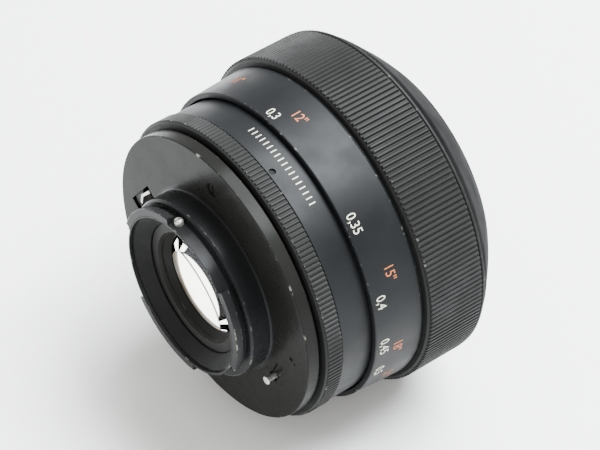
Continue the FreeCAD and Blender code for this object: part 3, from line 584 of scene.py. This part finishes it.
def glow_material(name, white_centre, white_radius, line_centre, line_radius):
    """The bright field seen through the glass, painted as glowing light: white, then amber past a circle,
    with one fine dark arc.
    """
    n = Nodes(name)

    def distance(place):
        node = n.tree.nodes.new("ShaderNodeVectorMath")
        node.operation = "DISTANCE"
        node.inputs[1].default_value = [part * MM for part in place]
        n.link(n.place, node.inputs[0])
        return node.outputs["Value"]

    away = distance(white_centre)
    edge = n.ramp(away, (white_radius - 0.15) * MM, (white_radius + 0.45) * MM, 0.0, 1.0)
    rim = n.ramp(away, (white_radius + 0.5) * MM, (white_radius + 1.9) * MM, 0.0, 1.0)
    amber = n.mix(rim, (0.085, 0.066, 0.036), (0.016, 0.013, 0.007))
    tone = n.mix(edge, (1.0, 0.99, 0.95), amber)
    off_line = n.math("ABSOLUTE", n.math("SUBTRACT", distance(line_centre), line_radius * MM), 0.0)
    line = n.ramp(off_line, 0.24 * MM, 0.5 * MM, 1.0, 0.0)
    tone = n.mix(line, tone, (0.03, 0.028, 0.024))
    cloud = n.ramp(n.noise(160.0, 3.0), 0.35, 0.7, 0.0, 0.06)
    tone = n.mix(cloud, tone, (0.7, 0.72, 0.72))
    # painted light: the field's colour is given out as emission, so it glows though it is no lamp
    n.link(tone, n.shader.inputs["Emission Color"])
    n.set(Emission_Strength=7.0, Roughness=0.6)
    n.shader.inputs["Base Color"].default_value = (0.02, 0.02, 0.02, 1.0)
    return n.material


def on_rear_glass(x, z, depth=0.0):
    """A point just under the rear surface of the glass, or deeper, from its place across the axis."""
    return np.array((x, 2.88 - depth - (x * x + z * z) / 100.0, z)) * MM


# The painted, glowing bright field is bounded by the rim of the glass on one side and by an arc on the other,
# and
# comes to a point where they meet: its reach in mm from a centre, by direction.
GLOW_CENTRE = (1.95, -2.81)
GLOW_RIM = 10.9
GLOW_TURNS = (0, 11, 39, 55, 205, 225, 240, 360)
GLOW_REACHES = (12, 8.9, 8.05, 7.45, 7.45, 9.5, 12, 12)


def glow_reach(turn):
    """Distance from the centre of the bright field to its edge."""
    ahead = GLOW_CENTRE[0] * math.cos(turn) + GLOW_CENTRE[1] * math.sin(turn)
    to_rim = math.sqrt(ahead ** 2 + GLOW_RIM ** 2 - GLOW_CENTRE[0] ** 2 - GLOW_CENTRE[1] ** 2) - ahead
    return min(to_rim, float(np.interp(math.degrees(turn), GLOW_TURNS, GLOW_REACHES)))


def glow_disc(grow=0.0, depth=0.0):
    """The painted bright field, a glowing sheet: rings of points round an off-centre middle, laid on the
    glass curve.
    """
    points, faces = [on_rear_glass(*GLOW_CENTRE, depth)], []
    rings, across = 10, 180
    for ring in range(1, rings + 1):
        for step in range(across):
            turn = 2 * math.pi * step / across
            reach = (glow_reach(turn) + grow) * ring / rings
            points.append(on_rear_glass(GLOW_CENTRE[0] + reach * math.cos(turn),
                                        GLOW_CENTRE[1] + reach * math.sin(turn), depth))
    for step in range(across):
        after = (step + 1) % across
        faces.append((0, 1 + step, 1 + after))
        for ring in range(rings - 1):
            base = 1 + ring * across
            faces.append((base + step, base + across + step, base + across + after, base + after))
    return np.array(points), faces, np.zeros(len(points))


def glint(corners, depth=0.0):
    """A small flat patch on the rim of the glass, in the shape of a painted glint, from (radius, clock)
    corners.
    """
    places = [(-r * math.sin(math.radians(clock)), r * math.cos(math.radians(clock))) for r, clock in corners]
    points = np.array([on_rear_glass(*place, depth) for place in places])
    return points, [list(range(len(places)))], np.zeros(len(places))


# Corners of the painted glints: small glowing patches on the rim of the glass that stand in for light caught
# by its edge.
GLINTS = [
    [(10.1, 301), (10.2, 287), (9.3, 280), (8.7, 273), (8.2, 281), (8.9, 294), (9.7, 301)],
    [(8.6, 313), (7.8, 323), (7.1, 304), (8.1, 290)],
    [(8.2, 142), (8.3, 118), (9.2, 123), (8.9, 148)],
    [(10.3, 151), (10.25, 139), (10.5, 137), (10.5, 150)],
]
# A glowing sheet just under the rear surface of the glass: painted light standing in for the light seen
# through the lens.
glow = finish_mesh("rear_glass_painted_light", *glow_disc()[:2], "lens_barrel", "coated_glass", sharp=60)
dress(glow, glow_material("painted_bright_field", (-1.98, 2.4, 1.39), 10.1, (5.58, 2.6, -7.62), 10.79))
# Painted shade: a matt black sheet just in front of the painted glow and glints, standing in for the dark
# inside of the lens seen from the front, so the glow neither shows nor lights the barrel from there.
glow_shade_parts = [glow_disc(0.15, 0.3)] + [glint(corners, 0.3) for corners in GLINTS]
glow_shade_sheet = finish_mesh("rear_glass_glow_shade_sheet", *merged(glow_shade_parts)[:2], "lens_barrel", "matt_black", sharp=60)
dress(glow_shade_sheet, M_MATT)
# Painted glints: the small patches glow as painted highlights on the rim of the glass.
glints = finish_mesh("rear_glass_glints", *merged([glint(corners) for corners in GLINTS])[:2], "lens_barrel",
                     "coated_glass", sharp=60)
dress(glints, glow_material("painted_glint_glow", (0.0, 2.3, 0.0), 14.0, (0.0, 2.3, 0.0), 30.0))

glass_block("rear_glass", 11.55, 2.6, 80, -3.0, 50, ["lens_7"])
glass_block("front_glass", 18.4, 43.0, 60, 41.0, -32, ["lens_1"])

retainer = turned("rear_retainer", [
    (12.0, -4.35, 0.06, 0.25), (13.8, -4.35, 0.05, 0.1), (13.8, -4.22, 0, 0), (12.95, -4.22, 0, 0),
    (12.95, -1.7, 0, 0), (11.6, -1.7, 0, 0), (10.6, -1.92, 0, 0), (10.6, -2.15, 0.05, 0),
    (11.6, -3.3, 0.1, 0.15), (11.6, -3.8, 0.06, 0)],
    "lens_barrel", "matt_black", ["rear_retaining_ring"])
dress(retainer, M_RETAINER)

# ---------------------------------------------------------------- figures

METRES = ["0.25", "0.3", "0.35", "0.4", "0.45", "0.5", "0.6", "0.8", "1", "1.5", "3"]
INCHES = [("10\"", 0.254), ("11\"", 0.2794), ("12\"", 0.3048), ("15\"", 0.381), ("18\"", 0.4572),
          ("21\"", 0.5334), ("24\"", 0.6096), ("3", 0.914), ("5", 1.524), ("10", 3.05)]
F_NUMBERS = ["2,8", "4", "5,6", "8", "11", "16"]
DEPTH_MARKS = {"4": 7.0, "8": 14.0, "11": 19.5, "16": 28.0}
INDEX_CLOCK = 192.8
INFINITY_CLOCK = 193.5
STOP_TURN = 12.0
PAINT_HEIGHT = 0.025
DIGIT_HEIGHT = 0.70
DIGIT_NARROWING = 0.86
LONGEST_STROKE = 0.22


def figure(name, text, clock, station, height, body, material, surface):
    """Raised paint figures wrapped on a ring: tops toward the front, reading clockwise seen from the rear."""
    curve = bpy.data.curves.new(name, "FONT")
    curve.body = text
    curve.align_x = "CENTER"
    curve.align_y = "CENTER"
    curve.resolution_u = 6
    holder = bpy.data.objects.new(name, curve)
    bpy.context.scene.collection.objects.link(holder)
    graph = bpy.context.evaluated_depsgraph_get()
    mesh = bpy.data.meshes.new_from_object(holder.evaluated_get(graph))
    bpy.data.objects.remove(holder)
    bpy.data.curves.remove(curve)
    work = bmesh.new()
    work.from_mesh(mesh)
    bmesh.ops.triangulate(work, faces=work.faces)
    for _ in range(2):
        long_edges = [edge for edge in work.edges if edge.calc_length() > LONGEST_STROKE]
        bmesh.ops.subdivide_edges(work, edges=long_edges, cuts=1)
        bmesh.ops.triangulate(work, faces=work.faces)
    scale = height / DIGIT_HEIGHT
    for vertex in work.verts:
        across = vertex.co.x * scale * DIGIT_NARROWING
        up = vertex.co.y * scale
        s = station + up
        r = surface(s) + PAINT_HEIGHT
        vertex.co = Vector(spot(r, clock + math.degrees(across / r), s).tolist())
    bmesh.ops.recalc_face_normals(work, faces=work.faces)
    centre = Vector(spot(surface(station), clock, station).tolist())
    outward = Vector((centre.x, 0, centre.z)).normalized()
    for face in work.faces:
        if face.normal.dot(outward) < 0:
            face.normal_flip()
    work.to_mesh(mesh)
    work.free()
    piece = bpy.data.objects.new(name, mesh)
    bpy.context.scene.collection.objects.link(piece)
    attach(piece, body)
    return dress(piece, material)


def tick_row(name, clocks, low, high, width, body, material, surface):
    """A row of raised paint strokes along the axis."""
    half = math.degrees(width / 2 / surface(low))
    parts = [
        sector([(surface(low) + 0.002, low, 0, 0), (surface(high) + 0.002, high, 0, 0),
                (surface(high) + PAINT_HEIGHT, high, 0.01, 0), (surface(low) + PAINT_HEIGHT, low, 0.01, 0)],
               clock - half, clock + half, 4)
        for clock in clocks]
    points, faces, _ = merged(parts)
    piece = finish_mesh(name, points, faces, body, "barrel_black")
    return dress(piece, material)


def sleeve_surface(s):
    """Radius of the tapered scale sleeve."""
    return 32.9 + (s - 14.1) * 0.6 / 10.65


def scale_clock(distance):
    """Clock angle of a distance mark, in metres, with the focus ring at infinity."""
    return INFINITY_CLOCK - 30.8 / (distance - 0.143)


def aperture_surface(s):
    """Radius of the aperture ring's crests, the same at every station."""
    return 31.8


def index_surface(s):
    """Radius of the index ring, the same at every station."""
    return 31.5


for step, label in enumerate(F_NUMBERS):
    figure(f"aperture_{label.replace(',', '_')}", label, INDEX_CLOCK - STOP_TURN * step, 5.45, 1.7,
           "aperture_ring", M_WHITE, aperture_surface)
for label, away in DEPTH_MARKS.items():
    for side, turn in (("near", away), ("far", -away)):
        figure(f"depth_{label}_{side}", label, INDEX_CLOCK + turn, 12.2, 1.5,
               "mount_barrel", M_WHITE, index_surface)
figure("metres_infinity", "\u221e", INFINITY_CLOCK, 16.15, 2.0, "focus_ring", M_WHITE, sleeve_surface)
for label in METRES:
    figure(f"metres_{label.replace('.', '_')}", label.replace(".", ","), scale_clock(float(label)), 16.15,
           2.0, "focus_ring", M_WHITE, sleeve_surface)
for label, distance in INCHES:
    figure(f"inches_{label.strip(chr(34))}", label, scale_clock(distance) + 0.8, 19.35, 2.1,
           "focus_ring", M_ORANGE, sleeve_surface)

index_tick_clocks = [-3.5 + 2.1 * step for step in range(18)]
depth_tick_clocks = [INDEX_CLOCK + side * away for away in DEPTH_MARKS.values() for side in (-1, 1)]
tick_row("index_ticks", index_tick_clocks, 10.6, 12.0, 0.22, "mount_barrel", M_WHITE, index_surface)
tick_row("depth_ticks", depth_tick_clocks, 13.6, 15.6, 0.18, "mount_barrel", M_WHITE, index_surface)
tick_row("index_line", [INDEX_CLOCK], 9.6, 15.6, 0.35, "mount_barrel", M_ORANGE, index_surface)

# ---------------------------------------------------------------- CAD pieces that keep their shape

KEPT = {
    M_PLATE: ["flange_screws", "stop_down_lever"],
    M_SCREW: ["focus_ring_screws"],
    M_MATT: ["index_set_screws", "guide_tube", "iris_cam_ring", "inner_barrel", "front_cell",
             "front_spacer", "rear_cell", "iris_base", "iris_cover"],
    M_BRASS: ["guide_keys", "focus_thread_ring"],
    M_SILVER: ["detent_ball", "detent_spring", "stop_down_prong", "iris_drive_fork", "focus_stop_pin"],
    M_BLADE: ["iris_drive_ring"] + [f"iris_blade_{index}" for index in range(1, 7)],
    M_GLASS: [f"lens_{index}" for index in range(2, 7)],
}
for material, names in KEPT.items():
    for name in names:
        dress(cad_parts[name], material)

# ---------------------------------------------------------------- floor, light and camera

LIGHT_TARGET = (0, -0.02, 0)
CAMERA_PLACE = (-0.3147, 0.2203, 0.3994)


def stage_floor():
    """A wide pale sheet under the lens."""
    floor_level = cad_box[0][2]
    mesh = bpy.data.meshes.new("floor")
    half = 3.0
    mesh.from_pydata([(-half, -half, floor_level), (half, -half, floor_level),
                      (half, half, floor_level), (-half, half, floor_level)], [], [(0, 1, 2, 3)])
    floor = bpy.data.objects.new("floor", mesh)
    bpy.context.scene.collection.objects.link(floor)
    n = Nodes("floor_paper")
    n.link(n.mix(n.noise(6.0), (0.90, 0.90, 0.895), (0.93, 0.93, 0.925)), n.shader.inputs["Base Color"])
    n.set(Roughness=0.9)
    dress(floor, n.material)


def area_light(name, place, width, height, power, tone):
    """A soft rectangular light aimed at the lens."""
    data = bpy.data.lights.new(name, "AREA")
    data.shape = "RECTANGLE"
    data.size = width
    data.size_y = height
    data.energy = power
    data.color = tone
    lamp = bpy.data.objects.new(name, data)
    bpy.context.scene.collection.objects.link(lamp)
    lamp.location = place
    direction = Vector(LIGHT_TARGET) - Vector(place)
    lamp.rotation_euler = direction.to_track_quat("-Z", "Y").to_euler()


def set_world(strength):
    """An even pale surround."""
    world = bpy.data.worlds.new("studio")
    world.use_nodes = True
    background = world.node_tree.nodes["Background"]
    background.inputs["Color"].default_value = (1.0, 0.995, 0.975, 1.0)
    background.inputs["Strength"].default_value = strength
    bpy.context.scene.world = world


stage_floor()
set_world(1.4)
area_light("key_light", (-0.22, -0.36, 0.74), 0.24, 0.5, 24.0, (0.93, 0.97, 1.0))
area_light("fill_light", (0.14, -0.37, 0.75), 0.42, 0.5, 20.0, (0.95, 0.98, 1.0))

camera_data = bpy.data.cameras.new("camera")
camera_data.sensor_width = 36.0
camera_data.lens = 172.07
camera_data.clip_start = 0.01
camera = bpy.data.objects.new("camera", camera_data)
bpy.context.scene.collection.objects.link(camera)
right = Vector((-0.609, -0.793, 0.0))
forward = Vector((0.560, -0.430, -0.708)).normalized()
right = (right - right.dot(forward) * forward).normalized()
up = right.cross(forward)
camera.matrix_world = Matrix((
    (right.x, up.x, -forward.x, CAMERA_PLACE[0]),
    (right.y, up.y, -forward.y, CAMERA_PLACE[1]),
    (right.z, up.z, -forward.z, CAMERA_PLACE[2]),
    (0, 0, 0, 1)))
bpy.context.scene.camera = camera
